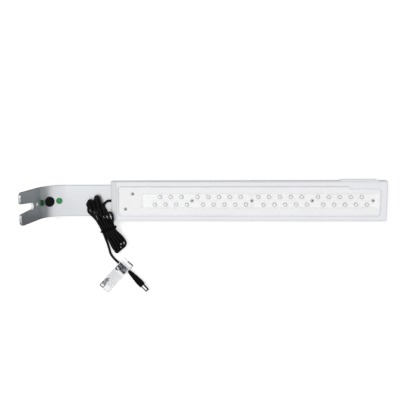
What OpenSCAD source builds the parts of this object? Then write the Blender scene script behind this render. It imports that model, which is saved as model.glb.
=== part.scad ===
// LED aquarium light with a bent mounting arm, shown lying on its top cover, light side up.
// Millimetres. +X runs along the lamp away from the arm, +Y is the side with the power button,
// and +Z is the way the light shines. The origin is the centre of the top cover's outer face.

/* [Housing] */
// Length of the housing
lamp_length = 356; // [350:1:362]
// Width of the housing
lamp_width = 52; // [52:0.5:54]
// Height of the housing, from the top cover to the underside rim
lamp_height = 11; // [11:0.5:13]
// Thickness of the aluminium top shell
shell_wall = 1.2; // [1:0.1:1.2]
// Chamfer along the outer edges of the top shell
shell_chamfer = 0.8; // [0.2:0.1:0.9]
// Length of the white end cap on the arm side
cap_length = 7; // [6:0.5:7]
// Width of the rim around the clear cover, along the long sides
rim_side = 6.5; // [6:0.5:7]
// Width of the rim beyond the clear cover, at the far end
rim_end = 8.5; // [8:0.5:9]
// How far the clear cover steps in beside the power button
cover_jog = 3.5; // [2.5:0.5:4]
// Corner radius of the clear cover
cover_radius = 4; // [2:0.5:5]

/* [Mounting arm] */
// Width of the arm
arm_width = 40.6; // [38:0.1:41]
// Thickness of the arm's plate
arm_thickness = 3; // [2.5:0.1:3]
// Free length of the flat part, from the housing to the bend
arm_reach = 58.4; // [50:0.1:70]
// Inside radius of the bend
bend_radius = 30; // [28:0.5:34]
// Angle of the bend
bend_angle = 82; // [75:1:90]
// Length of the straight part beyond the bend
arm_tail = 47.8; // [46:0.1:52]
// Diameter of the closed end of the fork's slot
slot_diameter = 8.4; // [8:0.1:9]
// Width of the slot at its mouth
slot_mouth = 12.4; // [11:0.1:14]
// Depth of the slot, from the prong tips to the closed end
slot_depth = 32; // [28:0.5:34]
// Diameter of the small hole above the slot
arm_hole = 4; // [3:0.1:4.5]
// Diameter of the black rest pad
rest_pad_diameter = 13.3; // [11:0.1:14]
// Diameter of the two green grip dots
grip_dot_diameter = 8.2; // [6:0.1:8.5]
// Distance from the rest pad to each grip dot, along the bend
grip_dot_spacing = 13; // [12:0.1:13.5]

/* [Light] */
// Diameter of the clear dome of one LED
led_diameter = 4.7; // [4:0.1:4.8]
// Spacing of the LEDs along the lamp, from one row to the other
led_pitch = 7; // [6.8:0.1:7]
// Distance of each LED row from the middle of the lamp
led_row = 5; // [4.5:0.1:5.5]
// Width of the LED boards
board_width = 19; // [18:0.5:19]

/* [Power button] */
// Length of the push bar
button_length = 50; // [40:1:50]
// How far the push bar stands out of the side
button_proud = 1.8; // [1.4:0.1:2.2]
// How far the push bar travels
button_travel = 1; // [0.6:0.1:1]

/* [Cable] */
// Diameter of the cable
cable_diameter = 3; // [2.6:0.1:3]
// Outer diameter of the plug's sleeve
plug_diameter = 5.5; // [5.5:0.5:5.5]
// Bore of the plug's centre contact
plug_bore = 2.1; // [2.1:0.4:2.5]
// Length of the plug's sleeve outside the boot
plug_length = 9.5; // [9:0.5:10]
// Largest diameter of the moulded plug boot
boot_diameter = 8.2; // [7.6:0.1:8.4]

/* [Hidden] */

$fn = 48;

// Clearance between parts that fit together, and the overshoot of every cut
gap = 0.1;
cut = 1;

// Ends and sides of the housing
x_min = -lamp_length / 2;
x_max = lamp_length / 2;
y_max = lamp_width / 2;
inner_x_max = x_max - shell_wall - gap;
inner_y = y_max - shell_wall - gap;
cap_end = x_min + cap_length;

// Levels, counted up from the top cover's outer face
floor_z = shell_wall;
arm_top = floor_z + arm_thickness;
spreader_top = floor_z + 2;
board_top = spreader_top + 1.6;
deck_top = lamp_height - 2;
deck_bottom = deck_top - 1;
gasket_thickness = 0.3;
cover_bottom = deck_top + gasket_thickness;
cover_top = lamp_height - 0.4;

// LED boards: where their centres are, how far apart their ends are, and the trough around them
board_centres = [-73, 83];
board_joint = 5;
board_ends = [-144.5, 172];
trough_x = [-140, 168];
trough_y = 10;
trough_radius = 3;
trough_wall = 1;
board_screw_x = [-73, 5, 83, 161];

// Arm screws hold the arm to the top shell through two wells in the tray
arm_screw_places = [[-150.3, 9.2], [-160.2, -10.8]];
arm_inner_end = -146;
well_radius = 2.7;
well_wall = 1.3;
screw_shank = 1.45;

// Arm: centre of the bend, and the places along the inside of the bend
bend_x = x_min - arm_reach;
bend_z = arm_top + bend_radius;
bend_length = bend_radius * bend_angle * PI / 180;
pad_place = 24.3;
pad_thickness = 1.5;
dot_thickness = 0.8;
slot_centre = arm_tail - slot_depth + slot_diameter / 2;
hole_place = 6.2;

// Push bar, its window in the side wall and the flange that holds it in
button_x = 142;
button_z = [1.9, 7.7];
button_slope = 2.6;
flange_z = [3, 6.8];
flange_overhang = 3;
flange_thickness = 2.2;
button_inside = inner_y - 0.1;
switch_z = 5.2;
switch_front = button_inside - flange_thickness - 3.1;

// Cable: radius, height where it leaves the housing, and the tied hank
cable_r = cable_diameter / 2;
cable_exit_z = 6.35;
cable_inner_end = -160;
grommet_clearance = 0.12;
grommet_r = cable_r + 0.62;
strand_pitch = 3.3;
layer_pitch = 3.15;
hank_origin = [-182.6, -37.5];
hank_angle = -70;
label_centre = [-165.6, -90];
label_angle = -42;
label_width = 17.2;
label_height = 4.2;
label_sheet = 0.3;
boot_start = [-158.3, -96];
boot_angle = -46.2;
boot_length = 26.3;
boot_neck = 2.4;
plug_z = boot_neck + 0.1;
boot_straight = 5.4;
plug_tilt = atan((boot_diameter / 2 - boot_neck) / (boot_length - boot_straight));

// ---- Shape helpers ----

function unit(v) = v / norm(v);

// Points of an arc that rounds corner b of the path a, b, c
function corner_arc(a, b, c, r, n) =
    let (
        u = unit(a - b),
        w = unit(c - b),
        half = acos(u * w) / 2,
        centre = b + unit(u + w) * r / sin(half),
        from = b + u * r / tan(half) - centre,
        to = b + w * r / tan(half) - centre,
        a0 = atan2(from[1], from[0]),
        turn = (atan2(to[1], to[0]) - a0 + 900) % 360 - 180
    )
    r <= 0 ? [b] : [for (i = [0 : n]) centre + r * [cos(a0 + turn * i / n), sin(a0 + turn * i / n)]];

// A closed outline with corner i rounded to radii[i]
function rounded(points, radii, n = 5) =
    let (k = len(points))
    [
        for (i = [0 : k - 1])
            each corner_arc(points[(i + k - 1) % k], points[i], points[(i + 1) % k], radii[i], n)
    ];

function box_outline(x0, x1, y0, y1, r) =
    rounded([[x0, y0], [x1, y0], [x1, y1], [x0, y1]], [r, r, r, r]);

// A box given by its lowest and highest corners
module block(low, high) {
    translate(low)
        cube(high - low);
}

// A flat plate of the given outline between two levels
module plate(points, z0, z1) {
    translate([0, 0, z0])
        linear_extrude(z1 - z0)
            polygon(points);
}

// A round rod between two levels, at a place in plan
module post(place, r, z0, z1) {
    translate([place[0], place[1], z0])
        cylinder(r = r, h = z1 - z0);
}

// Direction of a smooth curve at b, between its neighbours a and c
function slope(a, b, c) =
    let (d0 = norm(b - a), d1 = norm(c - b))
    ((b - a) * d1 / d0 + (c - b) * d0 / d1) / (d0 + d1);

// One point of the cubic from p to q with directions m and n, scaled by the distance d
function cubic_point(p, q, m, n, d, t) =
    (2 * t * t * t - 3 * t * t + 1) * p + (t * t * t - 2 * t * t + t) * d * m
        + (3 * t * t - 2 * t * t * t) * q + (t * t * t - t * t) * d * n;

// A smooth path through every way point, with a point at least every given distance
function spline(points, spacing) =
    let (
        k = len(points),
        slopes = [for (i = [0 : k - 1])
            i == 0 ? unit(points[1] - points[0])
                : i == k - 1 ? unit(points[k - 1] - points[k - 2])
                : slope(points[i - 1], points[i], points[i + 1])]
    )
    [
        for (i = [0 : k - 2])
            let (d = norm(points[i + 1] - points[i]), steps = max(1, ceil(d / spacing)))
            for (j = [0 : steps - 1])
                cubic_point(points[i], points[i + 1], slopes[i], slopes[i + 1], d, j / steps),
        points[k - 1]
    ];

// A round tube that follows a path which never runs straight up
module sweep(path, r, sides) {
    k = len(path);
    tangents = [for (i = [0 : k - 1]) unit(path[min(i + 1, k - 1)] - path[max(i - 1, 0)])];
    across = [for (t = tangents) unit(cross(t, [0, 0, 1]))];
    points = [
        for (i = [0 : k - 1])
            for (j = [0 : sides - 1])
                let (a = 360 * j / sides)
                path[i] + r * (cos(a) * across[i] + sin(a) * cross(across[i], tangents[i]))
    ];
    skin = [
        for (i = [0 : k - 2])
            for (j = [0 : sides - 1])
                let (n = (j + 1) % sides)
                [i * sides + j, i * sides + n, (i + 1) * sides + n, (i + 1) * sides + j]
    ];
    first_end = [[for (j = [sides - 1 : -1 : 0]) j]];
    last_end = [[for (j = [0 : sides - 1]) (k - 1) * sides + j]];
    polyhedron(points, concat(skin, first_end, last_end), convexity = 10);
}

// ---- Housing ----

// Cross-section of the shell's outside: a channel with chamfered outer edges
shell_section = [
    [-y_max + shell_chamfer, 0], [y_max - shell_chamfer, 0], [y_max, shell_chamfer],
    [y_max, lamp_height], [-y_max, lamp_height], [-y_max, shell_chamfer]
];

button_window = [button_x - button_length / 2 - 0.25, button_x + button_length / 2 + 0.25];

module top_shell() {
    color("silver")
        difference() {
            translate([x_min, 0, 0])
                rotate([90, 0, 90])
                    linear_extrude(lamp_length)
                        polygon(shell_section);
            block(
                [x_min - cut, -y_max + shell_wall, floor_z],
                [x_max - shell_wall, y_max - shell_wall, lamp_height + cut]
            );
            block(
                [button_window[0], y_max - shell_wall - cut, button_z[0] - 0.2],
                [button_window[1], y_max + cut, button_z[1] + 0.2]
            );
            for (p = arm_screw_places)
                post(p, 1.25, -cut, floor_z + cut);
        }
}

// The cap's upper face rolls down to the end in a quarter of an ellipse
cap_slope = [cap_length - 0.5, 1.8];

module end_cap() {
    curve = [for (i = [0 : 8]) let (a = 90 * i / 8)
        [x_min + cap_slope[0] * (1 - cos(a)), lamp_height - cap_slope[1] * (1 - sin(a))]];
    color("white")
        difference() {
            translate([0, inner_y, 0])
                rotate([90, 0, 0])
                    linear_extrude(2 * inner_y)
                        polygon([
                            [x_min, floor_z], each curve, [cap_end, lamp_height], [cap_end, floor_z]
                        ]);
            block(
                [x_min - cut, -arm_width / 2 - gap, floor_z - cut],
                [cap_end + cut, arm_width / 2 + gap, arm_top + 0.02]
            );
            translate([x_min - cut, 0, cable_exit_z])
                rotate([0, 90, 0])
                    cylinder(r = grommet_r + 0.02, h = cap_length + 2 * cut);
        }
}

// Outline of the clear cover, stepped in beside the power button, grown by a margin
function cover_outline(margin) =
    let (
        x0 = cap_end + 1.8 - margin,
        x1 = x_max - rim_end + margin,
        y0 = -y_max + rim_side - margin,
        y1 = y_max - rim_side + margin,
        jog_x = [button_x - 13.5 + margin, button_x - 10.5 + margin],
        r = cover_radius + margin
    )
    rounded(
        [[x0, y0], [x1, y0], [x1, y1 - cover_jog], [jog_x[1], y1 - cover_jog], [jog_x[0], y1], [x0, y1]],
        [r, r, r, 2, 2, r]
    );

module inner_tray() {
    trough = box_outline(trough_x[0], trough_x[1], -trough_y, trough_y, trough_radius);
    trough_outside = box_outline(trough_x[0] - trough_wall, trough_x[1] + trough_wall,
        -trough_y - trough_wall, trough_y + trough_wall, trough_radius + trough_wall);
    skirt_y = inner_y - 1.2;
    switch_bay = [button_x - 32, button_x + 32];
    color("white")
        difference() {
            union() {
                block([cap_end + gap, -inner_y, deck_bottom], [inner_x_max, inner_y, deck_top]);
                for (y = [-inner_y, skirt_y])
                    block([cap_end + gap, y, floor_z], [inner_x_max, y + 1.2, deck_bottom]);
                plate(trough_outside, board_top, deck_bottom);
                for (p = arm_screw_places)
                    post(p, well_radius + well_wall, arm_top, deck_bottom);
            }
            plate(trough, board_top - cut, deck_top + cut);
            block([switch_bay[0], skirt_y - 0.2, floor_z - cut], [switch_bay[1], inner_y + cut, deck_bottom]);
            for (p = arm_screw_places) {
                post(p, screw_shank + 0.15, arm_top - cut, deck_top);
                post(p, well_radius, arm_top + 1.2, deck_top + cut);
                post(p, 4.2, deck_top - 0.4, deck_top + cut);
            }
        }
}

module underside_frame() {
    color("whitesmoke")
        difference() {
            block([cap_end + gap, -inner_y, deck_top], [inner_x_max, inner_y, lamp_height]);
            plate(cover_outline(0.2), deck_top - cut, lamp_height + cut);
        }
}

module light_cover() {
    color([0.9, 0.95, 0.97, 0.35])
        plate(cover_outline(0), cover_bottom, cover_top);
}

module cover_gasket() {
    color("gainsboro")
        difference() {
            plate(cover_outline(-0.3), deck_top, cover_bottom);
            plate(cover_outline(-1.5), deck_top - cut, cover_bottom + cut);
        }
}

// ---- Light engine ----

module heat_spreader() {
    color("lightgray")
        difference() {
            block([board_ends[0], -12, floor_z], [board_ends[1], 12, spreader_top]);
            for (x = board_screw_x)
                post([x, 0], 1.25, floor_z - cut, spreader_top + cut);
        }
}

module led_board(x0, x1) {
    color("white")
        difference() {
            block([x0, -board_width / 2, spreader_top], [x1, board_width / 2, board_top]);
            for (x = board_screw_x)
                post([x, 0], 1.35, spreader_top - cut, board_top + cut);
        }
}

module led_board_left() {
    led_board(board_ends[0], board_joint - gap);
}

module led_board_right() {
    led_board(board_joint + gap, board_ends[1]);
}

// Places of the LEDs: a zigzag on each board, mirrored about the board's centre screw.
// The left board starts at its seventh place, because the arm's end takes up the rest.
function zigzag(k) = (abs(k) % 2 == 1 ? 1 : -1) * sign(k) * led_row;
led_places = [
    for (b = [0, 1])
        for (k = [(b == 0 ? -7 : -10) : 10])
            if (k != 0) [board_centres[b] + led_pitch * k, zigzag(k)]
];

module led_bases() {
    color("lightgray")
        for (p = led_places)
            post(p, led_diameter / 2 + 0.45, board_top, board_top + 0.8);
}

module led_domes() {
    r = led_diameter / 2;
    shoulder = board_top + 1.8;
    color([0.93, 0.95, 0.97, 0.6])
        for (p = led_places) {
            post(p, r - 0.08, board_top + 0.8, shoulder);
            intersection() {
                translate([p[0], p[1], shoulder])
                    sphere(r = r);
                post(p, r + cut, shoulder - 0.4, shoulder + r + cut);
            }
        }
}

// A pan-head screw with a cross recess: head on level z, shank reaching down to z0
module pan_screw(place, head_r, head_h, shank_r, z0, z) {
    translate([place[0], place[1], 0])
        difference() {
            union() {
                post([0, 0], head_r, z, z + head_h);
                post([0, 0], shank_r, z0, z);
            }
            for (a = [0, 90])
                rotate([0, 0, a])
                    translate([-head_r * 0.55, -head_r * 0.13, z + head_h * 0.45])
                        cube([head_r * 1.1, head_r * 0.26, head_h]);
        }
}

module board_screws() {
    color("dimgray")
        for (x = board_screw_x)
            pan_screw([x, 0], 2.2, 1.3, 1.2, floor_z + 0.1, board_top);
}

module board_link() {
    color("lightsteelblue")
        for (y = [-7.6, 7.6])
            block([board_joint - 3, y - 0.7, board_top], [board_joint + 3, y + 0.7, board_top + 0.6]);
}

// ---- Mounting arm ----

// Puts its children in the arm's own frame at an angle along the bend: x is away from the bend's
// centre, y runs back towards the housing along the plate, and z is across the arm
module on_bend(angle) {
    translate([bend_x, 0, bend_z])
        rotate([90, 0, 0])
            rotate([0, 0, 270 - angle])
                children();
}

// Side view of the arm: points of both faces round the bend, and the two ends
function bend_point(r, angle) = [bend_x + r * cos(270 - angle), bend_z + r * sin(270 - angle)];

arm_profile = let (
        steps = 30,
        inside = [for (i = [0 : steps]) bend_point(bend_radius, bend_angle * i / steps)],
        outside = [
            for (i = [steps : -1 : 0])
                bend_point(bend_radius + arm_thickness, bend_angle * i / steps)
        ],
        tail = arm_tail * [sin(270 - bend_angle), -cos(270 - bend_angle)]
    )
    concat(
        [[arm_inner_end, arm_top]], inside, [inside[steps] + tail, outside[0] + tail],
        outside, [[arm_inner_end, floor_z]]
    );

// Outline of the slot, in the plane of the arm's straight part, with rounded corners at its mouth
slot_outline = let (
        end_half = slot_diameter / 2 * 0.985,
        half = slot_mouth / 2
    )
    rounded(
        [
            [end_half, -slot_centre], [half, -arm_tail],
            [half + 8, -arm_tail - 0.5], [half + 8, -arm_tail - 4],
            [-half - 8, -arm_tail - 4], [-half - 8, -arm_tail - 0.5],
            [-half, -arm_tail], [-end_half, -slot_centre]
        ],
        [0, 3.5, 0, 0, 0, 0, 3.5, 0]
    );

// What is cut off the outer corner of a prong's tip: outside a quarter circle that starts and
// ends just beyond the plate's edges
function tip_corner(side) =
    let (r = 6, beyond = 0.12, x = arm_width / 2 - r + beyond, y = -arm_tail + r - beyond)
    [
        for (a = [0 : 9 : 90]) [side * (x + r * cos(a)), y - r * sin(a)],
        [side * x, y - r - 2], [side * (x + r + 2), y - r - 2], [side * (x + r + 2), y]
    ];

// Cuts a flat outline right through the straight part of the arm
module through_tail() {
    on_bend(bend_angle)
        translate([bend_radius - cut, 0, 0])
            rotate([0, 90, 0])
                linear_extrude(arm_thickness + 2 * cut)
                    children();
}

module arm() {
    color("silver")
        difference() {
            translate([0, arm_width / 2, 0])
                rotate([90, 0, 0])
                    linear_extrude(arm_width)
                        polygon(arm_profile);
            through_tail()
                polygon(slot_outline);
            for (side = [-1, 1])
                through_tail()
                    polygon(tip_corner(side));
            for (place = [[slot_centre, slot_diameter / 2], [hole_place, arm_hole / 2]])
                on_bend(bend_angle)
                    translate([bend_radius - cut, -place[0], 0])
                        rotate([0, 90, 0])
                            cylinder(r = place[1], h = arm_thickness + 2 * cut);
            for (p = arm_screw_places)
                post(p, screw_shank + 0.05, floor_z - cut, arm_top + cut);
        }
}

module arm_screws() {
    color("dimgray")
        for (p = arm_screw_places)
            pan_screw(p, 2.4, 1.5, screw_shank, floor_z, arm_top + 1.2);
}

// A disc stuck to the hollow side of the bend, at a distance along it, on a thin layer of glue
module bend_disc(place, diameter, thickness) {
    glue = 0.03;
    angle = place / bend_radius * 180 / PI;
    intersection() {
        on_bend(angle)
            translate([bend_radius - 2 * thickness, 0, 0])
                rotate([0, 90, 0])
                    cylinder(d = diameter, h = 3 * thickness);
        on_bend(bend_angle)
            translate([0, 0, -diameter])
                rotate_extrude(angle = bend_angle, $fn = 96)
                    translate([bend_radius - thickness - glue, 0])
                        square([thickness, 2 * diameter]);
    }
}

module rest_pad() {
    color("black")
        bend_disc(pad_place, rest_pad_diameter, pad_thickness);
}

module grip_dots() {
    color("mediumseagreen")
        for (side = [-1, 1])
            bend_disc(pad_place + side * grip_dot_spacing, grip_dot_diameter, dot_thickness);
}

// ---- Power button ----

module power_button() {
    x0 = button_x - button_length / 2;
    x1 = button_x + button_length / 2;
    color("white") {
        plate(
            [
                [x0, button_inside], [x1, button_inside], [x1, y_max + 0.2],
                [x1 - button_slope, y_max + button_proud], [x0 + button_slope, y_max + button_proud],
                [x0, y_max + 0.2]
            ],
            button_z[0], button_z[1]
        );
        block(
            [x0 - flange_overhang, button_inside - flange_thickness, flange_z[0]],
            [x1 + flange_overhang, button_inside, flange_z[1]]
        );
    }
}

// Depth of the plunger's bore, which leaves room for the whole travel
plunger_bore = 2.4;

module switch_plunger() {
    color("darkorange")
        translate([button_x, switch_front - plunger_bore + 1.2, switch_z])
            rotate([-90, 0, 0])
                cylinder(r = 1.2, h = button_inside - flange_thickness - switch_front + plunger_bore - 1.2);
}

module switch_body() {
    color("dimgray")
        difference() {
            block(
                [button_x - 3, switch_front - 4.4, floor_z + 1.6],
                [button_x + 3, switch_front, switch_z + 2.3]
            );
            translate([button_x, switch_front - plunger_bore, switch_z])
                rotate([-90, 0, 0])
                    cylinder(r = 1.28, h = plunger_bore + cut);
        }
}

module switch_board() {
    color("seagreen")
        block([button_x - 15, 12.6, floor_z], [button_x + 15, switch_front + 1.2, floor_z + 1.6]);
}

// Path of one of the two wires from the switch board to the right-hand LED board
function switch_wire_path(offset) = [
    [button_x + 12, 15.4 + offset, floor_z + 2.2],
    [button_x + 18, 15.4 + offset, floor_z + 2.8],
    [board_ends[1] - 4, 14 + offset, board_top + 1],
    [board_ends[1] - 1.6 + offset, 11, board_top + 1.2],
    [board_ends[1] - 1.6 + offset, 7, board_top + 0.6]
];

module switch_wires() {
    color("firebrick")
        for (offset = [-0.9, 0.9])
            sweep(spline(switch_wire_path(offset), 2.5), 0.5, 6);
}

// ---- Cable ----

module cable_grommet() {
    color("black")
        translate([0, 0, cable_exit_z])
            rotate([0, 90, 0])
                difference() {
                    translate([0, 0, x_min + 1.5])
                        cylinder(r = grommet_r, h = cap_length - 1.5);
                    translate([0, 0, x_min])
                        cylinder(r = cable_r + grommet_clearance, h = cap_length + cut);
                }
}

module cable_clamp() {
    color("gray")
        difference() {
            block([-168.5, -4.2, arm_top], [-162, 4.2, deck_bottom - 0.03]);
            translate([-170, 0, cable_exit_z])
                rotate([0, 90, 0])
                    cylinder(r = cable_r + 0.03, h = 10);
        }
}

module lead_wires() {
    color("firebrick")
        for (side = [-1, 1])
            sweep(
                spline(
                    [
                        [cable_inner_end + 0.05, side * 0.75, cable_exit_z],
                        [cable_inner_end + 6, side * 1.2, cable_exit_z],
                        [-148, side * 2.4, board_top + 1.4],
                        [-143.2, side * 3, board_top + 0.55]
                    ],
                    2.5
                ),
                0.5, 6
            );
}

// Height of the underside of the hank: it lies on the arm at its upper end and on the table
// at its lower end
function hank_base(v) =
    let (t = min(max((v + 10) / 38, 0), 1))
    (arm_top + 0.1) * (1 - t * t * (3 - 2 * t));

// A point of the hank: u across it, v along it towards its lower end, in a layer of strands
function hank_point(u, v, layer, lift = 0) = [
    hank_origin[0] - u * sin(hank_angle) + v * cos(hank_angle),
    hank_origin[1] + u * cos(hank_angle) + v * sin(hank_angle),
    hank_base(v) + cable_r + 0.1 + layer * layer_pitch + lift
];

// Place of a strand's column across the tied waist
function column(c) = -0.5 + (c - 2.5) * strand_pitch;

// A strand through the waist, going down the hank (way = 1) or up it (way = -1)
function strand(c, layer, way) = [for (v = [-5, 5]) hank_point(column(c), v * way, layer)];

// A round loop at the hank's end: sides at u0 and u1, which start out straight, and tip at v
function end_loop(u0, u1, v, layer, lift = 0) =
    let (r = abs(u1 - u0) / 2, way = sign(v), turn = sign(u1 - u0), straight = 3)
    [
        hank_point(u0, v - way * (r + straight), layer, lift),
        for (a = [0 : 30 : 180])
            hank_point((u0 + u1) / 2 - turn * r * cos(a), v - way * r * (1 - sin(a)), layer, lift),
        hank_point(u1, v - way * (r + straight), layer, lift)
    ];

lead_points = [
    [cable_inner_end, 0, cable_exit_z], [-170, 0, cable_exit_z], [x_min - 0.5, 0, cable_exit_z],
    [-184, -0.4, cable_exit_z], [-188.2, -4.2, cable_exit_z - 0.2]
];

hank_points = concat(
    [hank_point(4.8, -32, 0), hank_point(4.9, -24, 0)],
    strand(4.5, 0, 1), [hank_point(8.8, 12, 0)], end_loop(10.2, 5.6, 23, 0),
    strand(3.5, 0, -1), [hank_point(-0.2, -26, 0)], end_loop(-0.1, -4.9, -43, 0),
    [hank_point(-3.3, -20, 0)], strand(2.5, 0, 1), end_loop(2.6, -2.2, 29.2, 0),
    strand(1.5, 0, -1), [hank_point(-7.4, -23, 0)], end_loop(-10.2, -15.4, -42, 0),
    [hank_point(-17.2, -32, 0), hank_point(-13.4, -22, 0), hank_point(-9.6, -12, 0)],
    strand(0.5, 0, 1), [hank_point(-6.4, 17, 0), hank_point(-5.8, 25, 0), hank_point(-4.5, 30, 0)],
    [hank_point(-0.4, 32.5, 0.05), hank_point(4.6, 30.7, 0.2), hank_point(9.8, 28.9, 0.5)],
    [hank_point(12.9, 25.6, 0.8), hank_point(13.2, 21.4, 0.95), hank_point(11, 13, 1)],
    strand(5, 1.15, -1), [hank_point(9.4, -8, 1, 3.6)], end_loop(12.2, 7.2, -21, 1, 4.6),
    strand(4, 1, 1), [hank_point(7.2, 13, 1)], end_loop(9.2, 4.6, 26.8, 1),
    strand(3, 1, -1), [hank_point(3, -30, 1)], end_loop(3, -1.6, -46.4, 1),
    strand(2, 1, 1), [hank_point(-0.2, 16, 1)], end_loop(0.8, -3.6, 33, 1, 0.3),
    strand(1, 1, -1), [hank_point(-7.4, -22, 1)], end_loop(-6.9, -12.2, -44.5, 1),
    [hank_point(-10.8, -20, 1)], strand(0, 1, 1)
);

// A point on the plug's axis, at a distance from the start of the boot. The tapered boot lies
// on its side, so the axis rises a little towards the tip.
function plug_point(d) = [
    boot_start[0] + d * cos(plug_tilt) * cos(boot_angle),
    boot_start[1] + d * cos(plug_tilt) * sin(boot_angle),
    plug_z + d * sin(plug_tilt)
];

tail_points = [
    hank_point(-9.2, 11, 0.9), hank_point(-10, 17.6, 0.3), hank_point(-11.2, 26, 0),
    hank_point(-11.8, 32.8, 0), hank_point(-10.4, 38.8, 0.05),
    [label_centre[0] - 7.5, label_centre[1] + 6.4, cable_r + 0.42],
    [label_centre[0], label_centre[1], cable_r + 0.45], plug_point(-2), plug_point(2), plug_point(8)
];

cable_path = spline(concat(lead_points, hank_points, tail_points), 3.5);

module cable() {
    color("black")
        sweep(cable_path, cable_r, 8);
}

// A band round the waist of the hank, with its ends twisted together at one side
module cable_tie() {
    u0 = column(0) - cable_r - 0.4;
    u1 = column(5) + cable_r + 0.4;
    z0 = hank_base(0) - 0.25;
    z1 = hank_base(0) + 1.2 * layer_pitch + 2 * cable_r + 0.35;
    color("black")
        translate([hank_origin[0], hank_origin[1], 0])
            rotate([0, 0, hank_angle + 90])
                rotate([90, 0, 0]) {
                    translate([0, 0, -1.5])
                        linear_extrude(3)
                            difference() {
                                polygon(box_outline(u0 - 0.5, u1 + 0.5, z0 - 0.5, z1 + 0.5, 2));
                                polygon(box_outline(u0, u1, z0, z1, 1.5));
                            }
                    for (side = [-1, 1])
                        translate([u0 - 2.3, z1 - 2.2 + side * 0.5, side * 0.4])
                            rotate([0, 90, 0])
                                cylinder(r = 0.55, h = 2.2);
                }
}

// Puts its children on the plug's axis, with +Z towards its tip and the boot's start at zero
module on_plug() {
    translate(plug_point(0))
        rotate([0, 90 - plug_tilt, boot_angle])
            children();
}

sleeve_root = 5;
tip_ring = 1.6;

module plug_boot() {
    color("black")
        on_plug()
            difference() {
                union() {
                    cylinder(r1 = boot_neck, r2 = boot_diameter / 2 - 0.05, h = boot_length - boot_straight);
                    translate([0, 0, boot_length - boot_straight])
                        cylinder(d = boot_diameter, h = boot_straight);
                }
                translate([0, 0, -cut])
                    cylinder(r = cable_r + 0.12, h = 9.5 + cut);
                translate([0, 0, boot_length - sleeve_root])
                    cylinder(d = plug_diameter - 0.4 + 0.04, h = sleeve_root + cut);
            }
}

// The sleeve is thinner where the boot holds it, and ends short of the insulating tip ring
module plug_sleeve() {
    color("silver")
        on_plug()
            difference() {
                union() {
                    translate([0, 0, boot_length - sleeve_root + 0.02])
                        cylinder(d = plug_diameter - 0.4, h = sleeve_root);
                    translate([0, 0, boot_length])
                        cylinder(d = plug_diameter, h = plug_length - tip_ring);
                }
                translate([0, 0, boot_length - sleeve_root - cut])
                    cylinder(d = plug_diameter - 1, h = sleeve_root + plug_length + 2 * cut);
            }
}

module plug_insulator() {
    color("black")
        on_plug()
            difference() {
                union() {
                    translate([0, 0, boot_length - sleeve_root + 0.02])
                        cylinder(d = plug_diameter - 1.04, h = sleeve_root + plug_length - tip_ring - 0.02);
                    translate([0, 0, boot_length + plug_length - tip_ring])
                        cylinder(d = plug_diameter, h = tip_ring);
                }
                translate([0, 0, boot_length - sleeve_root - cut])
                    cylinder(d = plug_bore + 0.84, h = sleeve_root + plug_length + 2 * cut);
            }
}

module plug_contact() {
    color("gold")
        on_plug()
            translate([0, 0, boot_length - sleeve_root + 0.1])
                difference() {
                    cylinder(d = plug_bore + 0.8, h = sleeve_root + plug_length - 0.6);
                    translate([0, 0, 1])
                        cylinder(d = plug_bore, h = sleeve_root + plug_length);
                }
}

// A folded label: two sheets stuck together, parting to go round the cable
module label_flag() {
    flag_end = 42.8;
    fold_end = -10.4;
    mouth = 5;
    outside = rounded(
        [
            [fold_end, 0.02], [flag_end, 0.02], [flag_end, 0.02 + 2 * label_sheet],
            [mouth + 6, 0.02 + 2 * label_sheet], [mouth - 2, label_height], [fold_end, label_height]
        ],
        [1.4, 0, 0, 4, 2, 1.4]
    );
    inside = rounded(
        [
            [fold_end + label_sheet, 0.02 + label_sheet], [mouth + 3.6, 0.02 + label_sheet],
            [mouth - 2.2, label_height - label_sheet], [fold_end + label_sheet, label_height - label_sheet]
        ],
        [1.1, 0, 1.7, 1.1]
    );
    color("white")
        translate([label_centre[0], label_centre[1], 0])
            rotate([90, 0, label_angle - 90])
                translate([0, 0, -label_width / 2])
                    linear_extrude(label_width)
                        difference() {
                            polygon(outside);
                            polygon(inside);
                        }
}

top_shell();
end_cap();
inner_tray();
underside_frame();
light_cover();
cover_gasket();
heat_spreader();
led_board_left();
led_board_right();
led_bases();
led_domes();
board_screws();
board_link();
arm();
arm_screws();
rest_pad();
grip_dots();
power_button();
switch_plunger();
switch_body();
switch_board();
switch_wires();
cable_grommet();
cable_clamp();
lead_wires();
cable();
cable_tie();
plug_boot();
plug_sleeve();
plug_insulator();
plug_contact();
label_flag();
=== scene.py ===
"""Looks of an LED aquarium light, lying on its top cover with the light side up, around its CAD frame.

The CAD nodes with the right shape keep their meshes and get soft edges and materials here. The arm
and its pads, the LEDs, the screws, the cable, its tie, the plug's boot and the label are built again,
with finer detail.
"""

import math
import random

import bmesh
import bpy
from mathutils import Matrix, Vector


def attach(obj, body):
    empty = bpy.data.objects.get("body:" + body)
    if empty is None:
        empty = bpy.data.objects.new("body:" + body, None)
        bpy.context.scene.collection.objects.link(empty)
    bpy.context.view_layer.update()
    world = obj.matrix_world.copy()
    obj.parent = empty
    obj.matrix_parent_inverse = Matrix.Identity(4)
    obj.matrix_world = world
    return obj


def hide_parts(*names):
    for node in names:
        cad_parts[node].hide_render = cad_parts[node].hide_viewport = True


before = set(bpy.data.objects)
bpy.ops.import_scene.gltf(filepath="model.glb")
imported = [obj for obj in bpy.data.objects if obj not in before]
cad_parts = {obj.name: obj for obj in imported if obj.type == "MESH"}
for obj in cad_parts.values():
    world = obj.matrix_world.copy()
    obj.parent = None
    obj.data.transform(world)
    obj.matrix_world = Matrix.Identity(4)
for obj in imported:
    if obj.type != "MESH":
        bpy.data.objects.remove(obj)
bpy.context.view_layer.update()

MM = 0.001

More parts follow.
